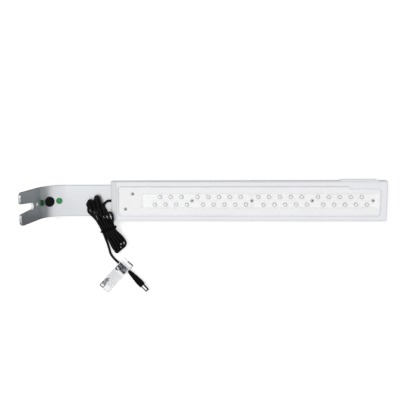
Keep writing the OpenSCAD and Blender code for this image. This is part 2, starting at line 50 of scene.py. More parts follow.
# Places that the CAD part is built round, in millimetres
BEND_RADIUS = 30.0  # inside of the arm's bend
BEND_ANGLE = math.radians(82)
BEND_CENTRE = Vector((-236.4, 0, 34.2))
BEND_LENGTH = BEND_RADIUS * BEND_ANGLE
ARM_WIDTH = 40.6
ARM_THICKNESS = 3.0
ARM_INNER_END = -146.0  # along X, inside the housing
ARM_TAIL = 47.8  # straight part beyond the bend
ARM_TIP_RADIUS = 6.0
ARM_EDGE = 0.4
ARM_SCREWS = [(-150.3, 9.2), (-160.2, -10.8)]
ARM_SCREW_HOLE = 1.5
SLOT_END = 20.0  # centre of the slot's closed end, beyond the bend
SLOT_RADIUS = 4.2
SLOT_MOUTH = 6.2  # half width at the mouth
MOUTH_RADIUS = 3.5
ARM_HOLE = (6.2, 2.0)  # distance beyond the bend, and radius
PAD_PLACE = 24.3  # along the inside of the bend
PAD_SIZE = (13.3, 1.5)  # diameter and thickness
DOT_SIZE = (8.2, 0.8)
DOT_SPACING = 13.0
HANK_ORIGIN = Vector((-182.6, -37.5, 0))
HANK_ANGLE = math.radians(-70)
CABLE_RADIUS = 1.6
CABLE_INNER_END = Vector((-160, 0, 6.35))
BOOT_START = Vector((-158.3, -96, 2.5))
BOOT_ANGLE = math.radians(-46.2)
BOOT_LENGTH = 26.3
BOOT_NECK = 2.4  # radius where the cable goes in
BOOT_RADIUS = 4.1
BOOT_STRAIGHT = 5.4
BOOT_BULGE = 0.45  # how far its sides swell, half way along
SLEEVE_RADIUS = 2.75
LABEL_CENTRE = Vector((-165.6, -90, 0))
LABEL_ANGLE = math.radians(-132)
LABEL_WIDTH = 17.2
LABEL_END = 42.8
LABEL_FOLD = -10.4
LABEL_HEIGHT = 4.2
LABEL_MARGIN = 0.7  # clear film beside the paper
PAPER_START = -3.7  # along the label
PRINT_START = -2.8
PRINT_CELL = 1.2  # side of one square cell of print

# Camera: where it stands, what it looks at, and how far it leans
CAMERA_PLACE = Vector((-39.6, 106.5, 708.4))
CAMERA_TARGET = Vector((-62.8, 0.2, 0))
CAMERA_ROLL = -0.005
CAMERA_LENS = 49.1

SKY_STRENGTH = 1.5


# ---- Mesh helpers ----


def add_piece(name, vertices, faces, material, slot, body="lamp", crease=35):
    """A new piece in millimetres, with smooth faces and edges sharper than the crease kept."""
    mesh = bpy.data.meshes.new(name)
    mesh.from_pydata([Vector(v) * MM for v in vertices], [], faces)
    mesh.materials.append(material)
    mesh.validate()
    mesh.polygons.foreach_set("use_smooth", [True] * len(mesh.polygons))
    mesh.set_sharp_from_angle(angle=math.radians(crease))
    piece = bpy.data.objects.new(name, mesh)
    bpy.context.scene.collection.objects.link(piece)
    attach(piece, body)
    return piece


def turned(profile, frames, steps=32):
    """Vertices and faces of a turned shape, once in each frame. The profile is (radius, height)."""
    vertices, faces = [], []
    for place in frames:
        rings = []
        for radius, height in profile:
            if radius == 0:
                rings.append([len(vertices)] * steps)
                vertices.append(place @ Vector((0, 0, height)))
                continue
            rings.append([len(vertices) + i for i in range(steps)])
            for i in range(steps):
                a = 2 * math.pi * i / steps
                vertices.append(place @ Vector((radius * math.cos(a), radius * math.sin(a), height)))
        faces += joined_rings(rings, steps)
    return vertices, faces


def joined_rings(rings, steps):
    """Faces between each ring of vertices and the next, with triangles where a ring is one point."""
    faces = []
    for low, high in zip(rings, rings[1:]):
        for i in range(steps):
            j = (i + 1) % steps
            corners = [low[i], low[j], high[j], high[i]]
            face = [c for k, c in enumerate(corners) if c not in corners[:k]]
            if len(face) > 2:
                faces.append(face)
    return faces


def swept(path, section, closed=False, up=Vector((0, 0, 1)), twist=0.0):
    """Vertices and faces of a section, (across, up) points, that follows a path without turning."""
    count = len(path)
    tangents = []
    for i in range(count):
        before = path[(i - 1) % count] if closed or i else path[0]
        after = path[(i + 1) % count] if closed or i < count - 1 else path[-1]
        tangents.append((after - before).normalized())
    side = tangents[0].cross(up).normalized()
    vertices, rings = [], []
    for i, tangent in enumerate(tangents):
        side = (side - tangent * side.dot(tangent)).normalized()
        turn = Matrix.Rotation(twist * i, 3, tangent)
        across, height = turn @ side, turn @ side.cross(tangent)
        rings.append([len(vertices) + j for j in range(len(section))])
        vertices += [path[i] + across * a + height * b for a, b in section]
    faces = joined_rings(rings + rings[:1] if closed else rings, len(section))
    if not closed:
        faces += [rings[0][::-1], rings[-1]]
    return vertices, faces


def circle(radius, sides):
    return [
        (radius * math.cos(2 * math.pi * i / sides), radius * math.sin(2 * math.pi * i / sides))
        for i in range(sides)
    ]


def smooth_path(points, parts):
    """A smooth curve through every point, with each stretch cut in equal parts."""
    path = []
    last = len(points) - 1
    for i in range(last):
        p, q = points[i], points[i + 1]
        before, after = points[max(i - 1, 0)], points[min(i + 2, last)]
        for j in range(parts):
            t = j / parts
            path.append(
                0.5 * (2 * p + (q - before) * t + (2 * before - 5 * p + 4 * q - after) * t**2
                       + (3 * p - before - 3 * q + after) * t**3)
            )
    return path + [points[-1]]


def merge(parts):
    """One list of vertices and one of faces from several."""
    vertices, faces = [], []
    for part_vertices, part_faces in parts:
        faces += [[i + len(vertices) for i in face] for face in part_faces]
        vertices += part_vertices
    return vertices, faces


def joined_vertices(node):
    """A CAD node's vertices in millimetres, duplicates joined, and each one's neighbours."""
    index, places, joined = {}, [], []
    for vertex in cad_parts[node].data.vertices:
        key = tuple(round(c / MM, 3) for c in vertex.co)
        if key not in index:
            index[key] = len(places)
            places.append(vertex.co / MM)
        joined.append(index[key])
    neighbours = [set() for _ in places]
    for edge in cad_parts[node].data.edges:
        a, b = joined[edge.vertices[0]], joined[edge.vertices[1]]
        neighbours[a].add(b)
        neighbours[b].add(a)
    return places, neighbours


def islands(node):
    """The middle of each separate solid of a CAD node, at its lowest level."""
    places, neighbours = joined_vertices(node)
    left = set(range(len(places)))
    middles = []
    while left:
        found, edge = set(), {min(left)}
        while edge:
            found |= edge
            edge = set().union(*(neighbours[i] for i in edge)) - found
        left -= found
        points = [places[i] for i in found]
        low = [min(p[k] for p in points) for k in range(3)]
        high = [max(p[k] for p in points) for k in range(3)]
        middles.append(Vector(((low[0] + high[0]) / 2, (low[1] + high[1]) / 2, low[2])))
    return middles


def centre_line(node, start):
    """The centre line of a tube: the middles of its rings of vertices, from the end at a point."""
    places, neighbours = joined_vertices(node)
    seen = set()
    ring = {i for i, p in enumerate(places) if (p - start).length < 1.6 and abs(p.x - start.x) < 0.01}
    middles = []
    while ring:
        middles.append(sum((places[i] for i in ring), Vector()) / len(ring))
        seen |= ring
        ring = set().union(*(neighbours[i] for i in ring)) - seen
    return middles


def soften(node, material, edge, segments=2, levels=0):
    """A CAD node's look: a material, rounded edges of a width in millimetres, and even shading."""
    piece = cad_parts[node]
    mesh = piece.data
    mesh.materials.clear()
    mesh.materials.append(material)
    normals = mesh.attributes.get("custom_normal")
    if normals:
        mesh.attributes.remove(normals)
    mesh.polygons.foreach_set("use_smooth", [True] * len(mesh.polygons))
    weld = piece.modifiers.new("weld", "WELD")
    weld.merge_threshold = 0.002 * MM
    if levels:
        subdivision = piece.modifiers.new("round", "SUBSURF")
        subdivision.levels = subdivision.render_levels = levels
        return piece
    flat = piece.modifiers.new("flat", "DECIMATE")
    flat.decimate_type = "DISSOLVE"
    flat.angle_limit = math.radians(0.3)
    bevel = piece.modifiers.new("edges", "BEVEL")
    bevel.width = edge * MM
    bevel.segments = segments
    bevel.limit_method = "ANGLE"
    bevel.angle_limit = math.radians(28)
    bevel.use_clamp_overlap = False
    bevel.loop_slide = False
    bevel.face_strength_mode = "FSTR_ALL"
    even = piece.modifiers.new("even", "WEIGHTED_NORMAL")
    even.use_face_influence = True
    even.keep_sharp = False
    return piece


# ---- Material helpers ----


class Look:
    """A material made of a Principled shader and the texture nodes that drive it."""

    def __init__(self, name, colour, **values):
        self.material = bpy.data.materials.new(name)
        self.material.use_nodes = True
        self.tree = self.material.node_tree
        self.shader = self.tree.nodes["Principled BSDF"]
        self.output = self.tree.nodes["Material Output"]
        self.colour = colour
        self.set("Base Color", (*colour, 1))
        for socket, value in values.items():
            self.set(socket.replace("_", " ").title().replace("Ior", "IOR"), value)

    def set(self, socket, value):
        self.shader.inputs[socket].default_value = value

    def add(self, kind, inputs=(), **settings):
        """A node of a kind, with its settings, and its inputs given as (socket, value or output)."""
        node = self.tree.nodes.new("ShaderNode" + kind)
        for key, value in settings.items():
            setattr(node, key, value)
        for socket, value in inputs:
            if isinstance(value, bpy.types.NodeSocket):
                self.tree.links.new(value, node.inputs[socket])
            else:
                node.inputs[socket].default_value = value
        return node

    def link(self, output, socket):
        self.tree.links.new(output, self.shader.inputs[socket])

    def place(self, stretch=(1, 1, 1)):
        """Position on the object in millimetres, stretched along its axes."""
        where = self.add("TexCoord")
        scale = [1 / (MM * s) for s in stretch]
        mapping = self.add("Mapping", [("Vector", where.outputs["Object"]), ("Scale", scale)])
        return mapping.outputs["Vector"]

    def noise(self, size, detail=3.0, stretch=(1, 1, 1), roughness=0.5):
        """Cloudy noise with features of a size in millimetres."""
        node = self.add(
            "TexNoise",
            [("Vector", self.place(stretch)), ("Scale", 1 / size), ("Detail", detail),
             ("Roughness", roughness)],
        )
        return node.outputs["Fac"]

    def spread(self, value, low, high, start=0.3, end=0.7):
        """A value moved from the range start..end to the range low..high."""
        node = self.add(
            "MapRange",
            [("Value", value), ("From Min", start), ("From Max", end), ("To Min", low),
             ("To Max", high)],
        )
        return node.outputs["Result"]

    def lean(self, start, end):
        """From 0 where the surface faces up to 1 where it leans over, by the Z of its normal."""
        normal = self.add("NewGeometry").outputs["Normal"]
        height = self.add("SeparateXYZ", [("Vector", normal)]).outputs["Z"]
        return self.spread(height, 0, 1, start, end)

    def mix(self, share, first, second):
        node = self.add("Mix", data_type="RGBA")
        for socket, value in (("Factor", share), ("A", first), ("B", second)):
            chosen = [s for s in node.inputs if s.name == socket and s.enabled][0]
            if isinstance(value, bpy.types.NodeSocket):
                self.tree.links.new(value, chosen)
            else:
                chosen.default_value = value if socket == "Factor" else (*value, 1)
        return [s for s in node.outputs if s.enabled][0]

    def math(self, operation, first, second):
        return self.add("Math", [(0, first), (1, second)], operation=operation).outputs[0]

    def bump(self, height, depth, strength=1.0):
        """Small relief of a depth in millimetres."""
        node = self.add(
            "Bump", [("Height", height), ("Distance", depth * MM), ("Strength", strength)]
        )
        self.link(node.outputs["Normal"], "Normal")

    def shade(self, value, darkest, start=0.3, end=0.7):
        """The colour, darker by up to a share where a value is low."""
        dark = tuple(c * darkest for c in self.colour)
        self.link(self.mix(self.spread(value, 0, 1, start, end), dark, self.colour), "Base Color")


def moulded(name, colour, roughness=0.4, grain=0.35, depth=0.012, clouds=0.97, painted_glow=None, **values):
    """Moulded plastic or rubber: a fine grain, with slow changes of shade and gloss.

    The painted glow is painted light: an emission that brightens white plastic, given as its strength on
    faces and on upright walls.
    """
    look = Look(name, colour, roughness=roughness, **values)
    if painted_glow:
        # Painted light: an emission glow, stronger on upright walls than on faces
        look.set("Emission Color", (1, 1, 1, 1))
        look.link(look.spread(look.lean(0.9, 0.2), *painted_glow, 0, 1), "Emission Strength")
    slow = look.noise(38, 2)
    look.shade(slow, clouds)
    look.link(look.spread(look.noise(7, 3), roughness - 0.06, roughness + 0.06), "Roughness")
    look.bump(look.noise(grain, 3), depth)
    return look.material


def metal(name, colour, roughness, streaks=(60, 1, 1), size=0.5, depth=0.004, metallic=1.0):
    """Metal with fine streaks along one axis."""
    look = Look(name, colour, roughness=roughness, metallic=metallic)
    lines = look.noise(size, 4, streaks, 0.6)
    look.shade(lines, 0.93)
    look.link(look.spread(lines, roughness - 0.05, roughness + 0.06), "Roughness")
    look.bump(lines, depth)
    return look.material


def clear(name, tint, painted_edge_shade, ior, gloss):
    """A clear sheet that lets light straight through, has painted shade in its see-through colour where
    it is seen edge-on, and mirrors a little.
    """
    look = Look(name, tint)
    grime = look.noise(12, 3)
    # Painted shade: the see-through colour darkens where the sheet is seen edge-on
    edge = look.add("LayerWeight", [("Blend", 0.3)])
    through = look.add(
        "BsdfTransparent",
        [("Color", look.mix(look.spread(edge.outputs["Facing"], 0, 1, 0.3, 0.8), tint, painted_edge_shade))],
    )
    mirror = look.add("BsdfGlossy", [("Roughness", look.spread(grime, gloss, gloss + 0.05))])
    fresnel = look.add("Fresnel", [("IOR", ior)])
    outer = look.math("SUBTRACT", 1.0, look.add("NewGeometry").outputs["Backfacing"])
    seen = look.math("MULTIPLY", outer, look.add("LightPath").outputs["Is Camera Ray"])
    share = look.math("MULTIPLY", fresnel.outputs[0], seen)
    mixed = look.add("MixShader", [(0, share), (1, through.outputs[0]), (2, mirror.outputs[0])])
    look.tree.links.new(mixed.outputs[0], look.output.inputs["Surface"])
    look.tree.nodes.remove(look.shader)
    return look.material


# ---- Materials ----


def board_finish():
    """White solder mask, with faint raised copper areas under it."""
    look = Look("board_white", (0.88, 0.88, 0.88), roughness=0.35)
    tracks = look.add(
        "TexBrick",
        [("Vector", look.place()), ("Scale", 1.0), ("Mortar Size", 0.35), ("Mortar Smooth", 0.3),
         ("Brick Width", 7.0), ("Row Height", 4.2)],
    )
    look.bump(tracks.outputs["Fac"], -0.03)
    look.link(
        look.mix(tracks.outputs["Fac"], (0.88, 0.88, 0.88), (0.83, 0.84, 0.84)), "Base Color"
    )
    return look.material


def arm_look_with_painted_shade():
    """Satin anodised aluminium: fine streaks along the arm, cloudy, and painted shade that makes it
    darker where it stands up.
    """
    look = Look("arm_aluminium", (0.74, 0.745, 0.76), metallic=1.0)
    lines = look.noise(0.35, 4, (40, 1, 40), 0.6)
    cloud = look.noise(26, 2)
    both = look.math("MULTIPLY", lines, look.spread(cloud, 0.85, 1.15))
    satin = look.mix(look.spread(both, 0, 1), (0.68, 0.695, 0.705), (0.725, 0.74, 0.75))
    # Painted shade: the colour turns dark grey where the arm stands up, away from the overhead light
    look.link(look.mix(look.lean(0.64, 0.2), satin, (0.375, 0.395, 0.415)), "Base Color")
    look.link(look.spread(both, 0.36, 0.46), "Roughness")
    look.bump(lines, 0.004)
    return look.material


def lens_look_with_painted_shade():
    """Clear LED epoxy: open in the middle, and painted shade that makes it grey where its wall turns
    away.
    """
    look = Look("led_clear", (0.9, 0.92, 0.95), roughness=0.08)
    facing = look.add("LayerWeight", [("Blend", 0.5)]).outputs["Facing"]
    through = look.add("BsdfTransparent")
    # Painted shade: grey colour, and less see-through, where the dome's wall turns away
    wall = look.spread(facing, 0.1, 0.95, 0.25, 0.6)
    look.link(look.mix(look.spread(facing, 0, 1, 0.25, 0.6), (0.9, 0.92, 0.95), (0.24, 0.24, 0.26)),
              "Base Color")
    look.bump(look.noise(1.5, 2), 0.01)
    mixed = look.add(
        "MixShader", [(0, wall), (1, through.outputs[0]), (2, look.shader.outputs[0])]
    )
    look.tree.links.new(mixed.outputs[0], look.output.inputs["Surface"])
    return look.material


def nickel_look_with_painted_reflection():
    """Polished nickel with painted reflection: its colour is bright on top and near black on its sides,
    standing in for the dark room that its sides mirror.
    """
    look = Look("plug_nickel", (0.86, 0.86, 0.87), roughness=0.2, metallic=1.0)
    # Painted reflection: bright colour where it faces up, near black on its sides
    look.link(look.mix(look.lean(0.92, 0.78), (0.95, 0.95, 0.96), (0.012, 0.012, 0.013)), "Base Color")
    look.link(look.spread(look.noise(0.4, 3, (1, 1, 1)), 0.14, 0.24), "Roughness")
    return look.material


def green_look_with_painted_shade():
    """Green rubber, with painted shade that makes it darker where it stands up."""
    look = Look("green_pad", (0.052, 0.30, 0.098), roughness=0.6, specular_ior_level=0.2)
    cloud = look.mix(look.spread(look.noise(9, 2), 0, 1), (0.048, 0.28, 0.09), (0.054, 0.31, 0.10))
    # Painted shade: dark green where the dot stands up
    look.link(look.mix(look.lean(0.7, 0.3), cloud, (0.009, 0.062, 0.021)), "Base Color")
    look.bump(look.noise(0.5, 3), 0.02)
    return look.material


def paper_finish():
    """Printed paper under film: thin fibres and a slight cool shade."""
    look = Look("label_paper", (0.90, 0.91, 0.91), roughness=0.5)
    fibres = look.noise(0.8, 5, (3, 1, 1))
    look.shade(fibres, 0.95)
    look.bump(fibres, 0.006)
    look.set("Coat Weight", 0.6)
    look.set("Coat Roughness", 0.12)
    return look.material


LOOKS = {
    "shell": metal("shell_aluminium", (0.88, 0.89, 0.91), 0.36, (60, 1, 1), metallic=0.5),
    "cap": moulded("white_plastic", (0.68, 0.69, 0.695), 0.42),
    # The bar, the tray and the rim glow a little: painted light, emission that makes their white plastic
    # brighter
    "bar": moulded("bar_plastic_painted_glow", (0.80, 0.80, 0.805), 0.4, emission_color=(1, 1, 1, 1),
                   emission_strength=0.11),
    "tray": moulded("tray_plastic_painted_glow", (0.70, 0.70, 0.705), 0.45, painted_glow=(0.15, 0.34)),
    "rim": moulded("rim_plastic", (0.69, 0.695, 0.72), 0.36, emission_color=(0.97, 0.98, 1, 1),
                   emission_strength=0.12),
    # Faint painted shade where the cover is seen edge-on
    "cover": clear("clear_acrylic", (1, 1, 1), (0.97, 0.98, 0.98), 1.35, 0.03),
    "gasket": moulded("foam_seal", (0.85, 0.85, 0.86), 0.85, 0.6, 0.08),
    "spreader": metal("spreader_aluminium", (0.92, 0.92, 0.93), 0.45, (40, 1, 1), metallic=0.2),
    "board": board_finish(),
    "led_base": moulded("led_body", (0.82, 0.83, 0.83), 0.4, 0.5, 0.01),
    "led_lens": lens_look_with_painted_shade(),
    "phosphor": moulded("led_phosphor", (0.93, 0.925, 0.87), 0.6, 0.25, 0.02),
    "steel": metal("steel", (0.64, 0.64, 0.66), 0.34, (1, 1, 1), 0.8),
    # Near black in the screws' cross recesses: painted shade
    "recess": moulded("screw_recess_painted_shade", (0.035, 0.035, 0.04), 0.7),
    "solder": metal("solder", (0.90, 0.90, 0.91), 0.35, (1, 1, 1), 0.9, 0.03, metallic=0.25),
    "arm": arm_look_with_painted_shade(),
    # Painted light on the arm's hole and slot-end walls, which face up to the light
    "painted_lit_wall": metal("arm_painted_lit_wall", (0.88, 0.88, 0.88), 0.4, (1, 1, 1), metallic=0.2),
    "rubber": moulded("black_rubber", (0.006, 0.005, 0.006), 0.62, 0.3, 0.015, specular_ior_level=0.12),
    "green": green_look_with_painted_shade(),
    "switch": moulded("switch_plastic", (0.05, 0.05, 0.055), 0.45),
    "plunger": moulded("plunger_plastic", (0.75, 0.28, 0.06), 0.45),
    "green_board": moulded("board_green", (0.03, 0.16, 0.06), 0.35, 0.8, 0.02),
    "wire": moulded("wire_red", (0.45, 0.03, 0.03), 0.4),
    "clamp": moulded("clamp_plastic", (0.25, 0.25, 0.26), 0.5),
    "cable": moulded("cable_black", (0.005, 0.005, 0.006), 0.3, 0.45, 0.008, 0.8,
                     specular_ior_level=0.11),
    "tie": moulded("tie_black", (0.002, 0.002, 0.0025), 0.4, specular_ior_level=0.03),
    "boot": moulded("boot_black", (0.002, 0.002, 0.002), 0.42, 0.4, 0.01, specular_ior_level=0.07),
    "nickel": nickel_look_with_painted_reflection(),
    "brass": metal("plug_brass", (0.83, 0.62, 0.28), 0.3, (1, 1, 1), 0.6),
    # The film's dark edge colour is painted shade where its fold is seen edge-on
    "film": clear("label_film", (1, 1, 1), (0.45, 0.46, 0.48), 1.3, 0.06),
    "paper": paper_finish(),
    "ink": moulded("label_ink", (0.012, 0.013, 0.018), 0.5, 0.3, 0.004, specular_ior_level=0.1),
    "grey_ink": moulded("label_grey_ink", (0.10, 0.105, 0.115), 0.5, 0.3, 0.004,
                        specular_ior_level=0.1),
    "pale_ink": moulded("label_pale_ink", (0.27, 0.28, 0.31), 0.5, 0.3, 0.004, specular_ior_level=0.1),
}


# ---- Nodes that keep their CAD shape: (node, look, width of the rounded edges) ----

KEPT = [
    ("top_shell", "shell", 0.25),
    ("end_cap", "cap", 0.3),
    ("inner_tray", "tray", 0.15),
    ("underside_frame", "rim", 0.35),
    ("light_cover", "cover", 0.3),
    ("cover_gasket", "gasket", 0.05),
    ("heat_spreader", "spreader", 0.1),
    ("led_board_left", "board", 0.1),
    ("led_board_right", "board", 0.1),
    ("board_link", "solder", 0.15),
    ("power_button", "bar", 0.4),
    ("switch_plunger", "plunger", 0.1),
    ("switch_body", "switch", 0.15),
    ("switch_board", "green_board", 0.1),
    ("cable_grommet", "rubber", 0.15),
    ("cable_clamp", "clamp", 0.2),
    ("plug_sleeve", "nickel", 0.08),
    ("plug_insulator", "rubber", 0.2),
    ("plug_contact", "brass", 0.06),
]

for node_name, look_name, edge_width in KEPT:
    soften(node_name, LOOKS[look_name], edge_width)
for node_name in ("switch_wires", "lead_wires"):
    soften(node_name, LOOKS["wire"], 0, levels=1)


# ---- LEDs ----


def build_leds():
    """Each LED: a base with a flange, a clear dome and, inside it, a cup with the phosphor."""
    at = [Matrix.Translation(p) for p in islands("led_bases")]
    base = [
        (0, 0), (2.7, 0), (2.8, 0.1), (2.8, 0.6), (2.7, 0.72), (2.35, 0.8), (1.7, 0.8),
        (1.35, 0.7), (0, 0.7)
    ]
    piece = add_piece("led_base_rings", *turned(base, at), LOOKS["led_base"], "led_body")
    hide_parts("led_bases")
    radius, shoulder = 2.35, 1.85
    lens = [(radius, 0.8), (radius, shoulder)]
    lens += [
        (radius * math.cos(a), shoulder + radius * math.sin(a))
        for a in (math.radians(10 * k) for k in range(1, 9))
    ]
    lens.append((0, shoulder + radius))
    dome = add_piece("led_lenses", *turned(lens, at), LOOKS["led_lens"], "led_clear", crease=60)
    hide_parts("led_domes")
    cup = [(1.6, 0.75), (1.7, 1.5), (1.55, 1.5), (0.95, 1.0), (0.55, 1.05), (0, 1.1)]
    add_piece("led_cups", *turned(cup, at, 20), LOOKS["phosphor"], "led_body")


# ---- Screws ----


def cross_cutter(reach, width, low, high):
    """A tapered cross that cuts the recess of a screw head."""
    outline = []
    for turn in range(4):
        for x, y in ((width, -width), (reach, -width), (reach, width), (width, width)):
            outline.append(Matrix.Rotation(turn * math.pi / 2, 2) @ Vector((x, y)))
    outline = [p for i, p in enumerate(outline) if (p - outline[i - 1]).length > 1e-6]
    vertices = [Vector((p.x * 0.45, p.y * 0.6, low)) for p in outline]
    vertices += [Vector((p.x, p.y, high)) for p in outline]
    count = len(outline)
    faces = [[i, (i + 1) % count, (i + 1) % count + count, i + count] for i in range(count)]
    return vertices, faces + [list(range(count))[::-1], list(range(count, 2 * count))]


def build_screws(name, node, head_radius, head_height, shank, drop):
    """Pan-head screws with a cross recess. The drop is from the head's seat to the shank's end."""
    dice = random.Random(3)
    frames = [
        Matrix.Translation(p + Vector((0, 0, drop))) @ Matrix.Rotation(dice.uniform(0, 1.5), 4, "Z")
        for p in islands(node)
    ]
    top = head_height
    profile = [
        (0, -drop), (shank, -drop + 0.05), (shank, 0), (head_radius * 0.96, 0), (head_radius, top * 0.12)
    ]
    profile += [
        (head_radius * math.cos(a), top * (0.3 + 0.7 * math.sin(a)))
        for a in (math.radians(12 * k) for k in range(7))
    ]
    profile.append((0, top))
    piece = add_piece(name, *turned(profile, frames), LOOKS["steel"], "steel")
    cutters = []
    for place in frames:
        vertices, faces = cross_cutter(head_radius * 0.7, head_radius * 0.24, top * 0.3, top * 1.3)
        cutters.append(([place @ v for v in vertices], faces))
    # The cut faces of the recess take the near-black material: painted shade
    cutter = add_piece(name + "_cutter", *merge(cutters), LOOKS["recess"], "steel")
    piece.data.materials.append(LOOKS["recess"])
    cut = piece.modifiers.new("recess", "BOOLEAN")
    cut.object = cutter
    cut.solver = "EXACT"
    cut.material_mode = "TRANSFER"
    result = bpy.data.meshes.new_from_object(
        piece.evaluated_get(bpy.context.evaluated_depsgraph_get())
    )
    piece.modifiers.clear()
    piece.data = result
    result.set_sharp_from_angle(angle=math.radians(35))
    bpy.data.objects.remove(cutter)
    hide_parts(node)


# ---- Arm: a flat plate with rounded edges, then bent ----


def on_arm(along, across, rise):
    """A point over the arm's upper face: along it from the start of the bend, across, and up."""
    angle = min(max(along / BEND_RADIUS, 0), BEND_ANGLE)
    ahead = Vector((-math.cos(angle), 0, math.sin(angle)))
    up = Vector((math.sin(angle), 0, math.cos(angle)))
    beyond = along - angle * BEND_RADIUS
    return BEND_CENTRE - up * (BEND_RADIUS - rise) + ahead * beyond + Vector((0, across, 0))


def arc(centre, radius, start, end, steps):
    """Points on an arc, with its angles in degrees."""
    angles = [math.radians(start + (end - start) * i / steps) for i in range(steps + 1)]
    return [(centre[0] + radius * math.cos(a), centre[1] + radius * math.sin(a)) for a in angles]


def arm_outlines():
    """The flat plate's outline, with the fork's slot, and its holes: (along, across) points."""
    inner, tip, half = BEND_CENTRE.x - ARM_INNER_END, BEND_LENGTH + ARM_TAIL, ARM_WIDTH / 2
    side = []
    side += arc((tip - ARM_TIP_RADIUS, half - ARM_TIP_RADIUS), ARM_TIP_RADIUS, 90, 0, 10)
    side += arc((tip - MOUTH_RADIUS, SLOT_MOUTH + MOUTH_RADIUS - 0.2), MOUTH_RADIUS, 0, -85, 9)
    side += arc((BEND_LENGTH + SLOT_END, 0), SLOT_RADIUS, 88, 180, 12)
    outline = [(inner, half)] + side + [(x, -y) for x, y in side[-2::-1]] + [(inner, -half)]
    holes = [arc((BEND_LENGTH + ARM_HOLE[0], 0), ARM_HOLE[1], 0, 345, 23)]
    holes += [arc((BEND_CENTRE.x - x, y), ARM_SCREW_HOLE, 0, 345, 23) for x, y in ARM_SCREWS]
    return [outline] + holes


def flat_plate(outlines, thickness, edge):
    """A plate with rounded edges and its holes, as a mesh. Its upper face lies at height zero."""
    curve = bpy.data.curves.new("plate", "CURVE")
    curve.dimensions, curve.fill_mode = "2D", "BOTH"
    curve.extrude, curve.bevel_depth = thickness / 2 - edge, edge
    curve.bevel_resolution, curve.offset = 2, -edge
    for points in outlines:
        spline = curve.splines.new("POLY")
        spline.points.add(len(points) - 1)
        for point, (x, y) in zip(spline.points, points):
            point.co = (x, y, 0, 1)
        spline.use_cyclic_u = True
    holder = bpy.data.objects.new("plate", curve)
    bpy.context.scene.collection.objects.link(holder)
    graph = bpy.context.evaluated_depsgraph_get()
    plate = bmesh.new()
    plate.from_mesh(bpy.data.meshes.new_from_object(holder.evaluated_get(graph)))
    bpy.data.objects.remove(holder)
    bmesh.ops.translate(plate, verts=plate.verts, vec=(0, 0, -thickness / 2))
    bmesh.ops.remove_doubles(plate, verts=plate.verts, dist=0.001)
    return plate


def build_arm():
    plate = flat_plate(arm_outlines(), ARM_THICKNESS, ARM_EDGE)
    steps = 36
    for i in range(steps + 1):
        bmesh.ops.bisect_plane(
            plate, geom=plate.verts[:] + plate.edges[:] + plate.faces[:],
            plane_co=(BEND_LENGTH * i / steps, 0, 0), plane_no=(1, 0, 0)
        )
    bmesh.ops.recalc_face_normals(plate, faces=plate.faces)
    vertices, normals = [], []
    for vertex in plate.verts:
        flat = sum((f.normal * f.calc_area() for f in vertex.link_faces), Vector()).normalized()
        along, across, rise = vertex.co
        here = on_arm(along, across, rise)
        ahead, up = on_arm(along + 0.01, across, rise), on_arm(along, across, rise + 0.01)
        normals.append(
            (ahead - here).normalized() * flat.x + Vector((0, flat.y, 0))
            + (up - here).normalized() * flat.z
        )
        vertices.append(here)
    faces = [[v.index for v in reversed(face.verts)] for face in plate.faces]
    # Painted light: the walls of the hole and of the slot's closed end get a brighter, less metallic
    # material, as they face up to the light
    bright_ends = [(ARM_HOLE[0], ARM_HOLE[1]), (SLOT_END, SLOT_RADIUS)]
    bright = [
        any(
            (face.calc_center_median().xy - Vector((BEND_LENGTH + beyond, 0))).length < radius + 0.3
            for beyond, radius in bright_ends
        )
        for face in plate.faces
    ]
    plate.free()
    piece = add_piece("arm_plate", vertices, faces, LOOKS["arm"], "arm_aluminium", crease=180)
    piece.data.materials.append(LOOKS["painted_lit_wall"])
    piece.data.polygons.foreach_set("material_index", [int(b) for b in bright])
    piece.data.normals_split_custom_set_from_vertices(normals)
    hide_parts("arm")


# ---- Pads in the arm's bend ----


def bent_disc(along, diameter, thickness, crown):
    """A disc with a rounded rim and a slightly crowned face, lying on the bend."""
    radius, edge = diameter / 2, min(thickness * 0.5, 0.45)
    profile = [(radius - 0.05, 0.02), (radius, thickness - edge)]
    profile += [
        (radius - edge + edge * math.cos(a), thickness - edge + edge * math.sin(a))
        for a in (math.radians(18 * k) for k in range(1, 6))
    ]
    profile += [
        (radius * share, thickness + crown * (1 - share**2)) for share in (0.8, 0.55, 0.3, 0)
    ]
    vertices, faces = turned(profile, [Matrix()], 56)
    return [on_arm(along + v.x, v.y, v.z) for v in vertices], faces


def build_pads():
    pad = add_piece(
        "rest_pad_rubber", *bent_disc(PAD_PLACE, *PAD_SIZE, 0.15), LOOKS["rubber"], "black_rubber"
    )
    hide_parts("rest_pad")
    dots = [bent_disc(PAD_PLACE + s * DOT_SPACING, *DOT_SIZE, 0.1) for s in (-1, 1)]
    piece = add_piece("grip_dot_pair", *merge(dots), LOOKS["green"], "green_pad")
    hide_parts("grip_dots")


# ---- Cable ----


def build_cable():
    path = smooth_path(centre_line("cable", CABLE_INNER_END), 3)
    piece = add_piece(
        "power_cable", *swept(path, circle(CABLE_RADIUS, 16)), LOOKS["cable"], "cable_black"
    )
    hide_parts("cable")


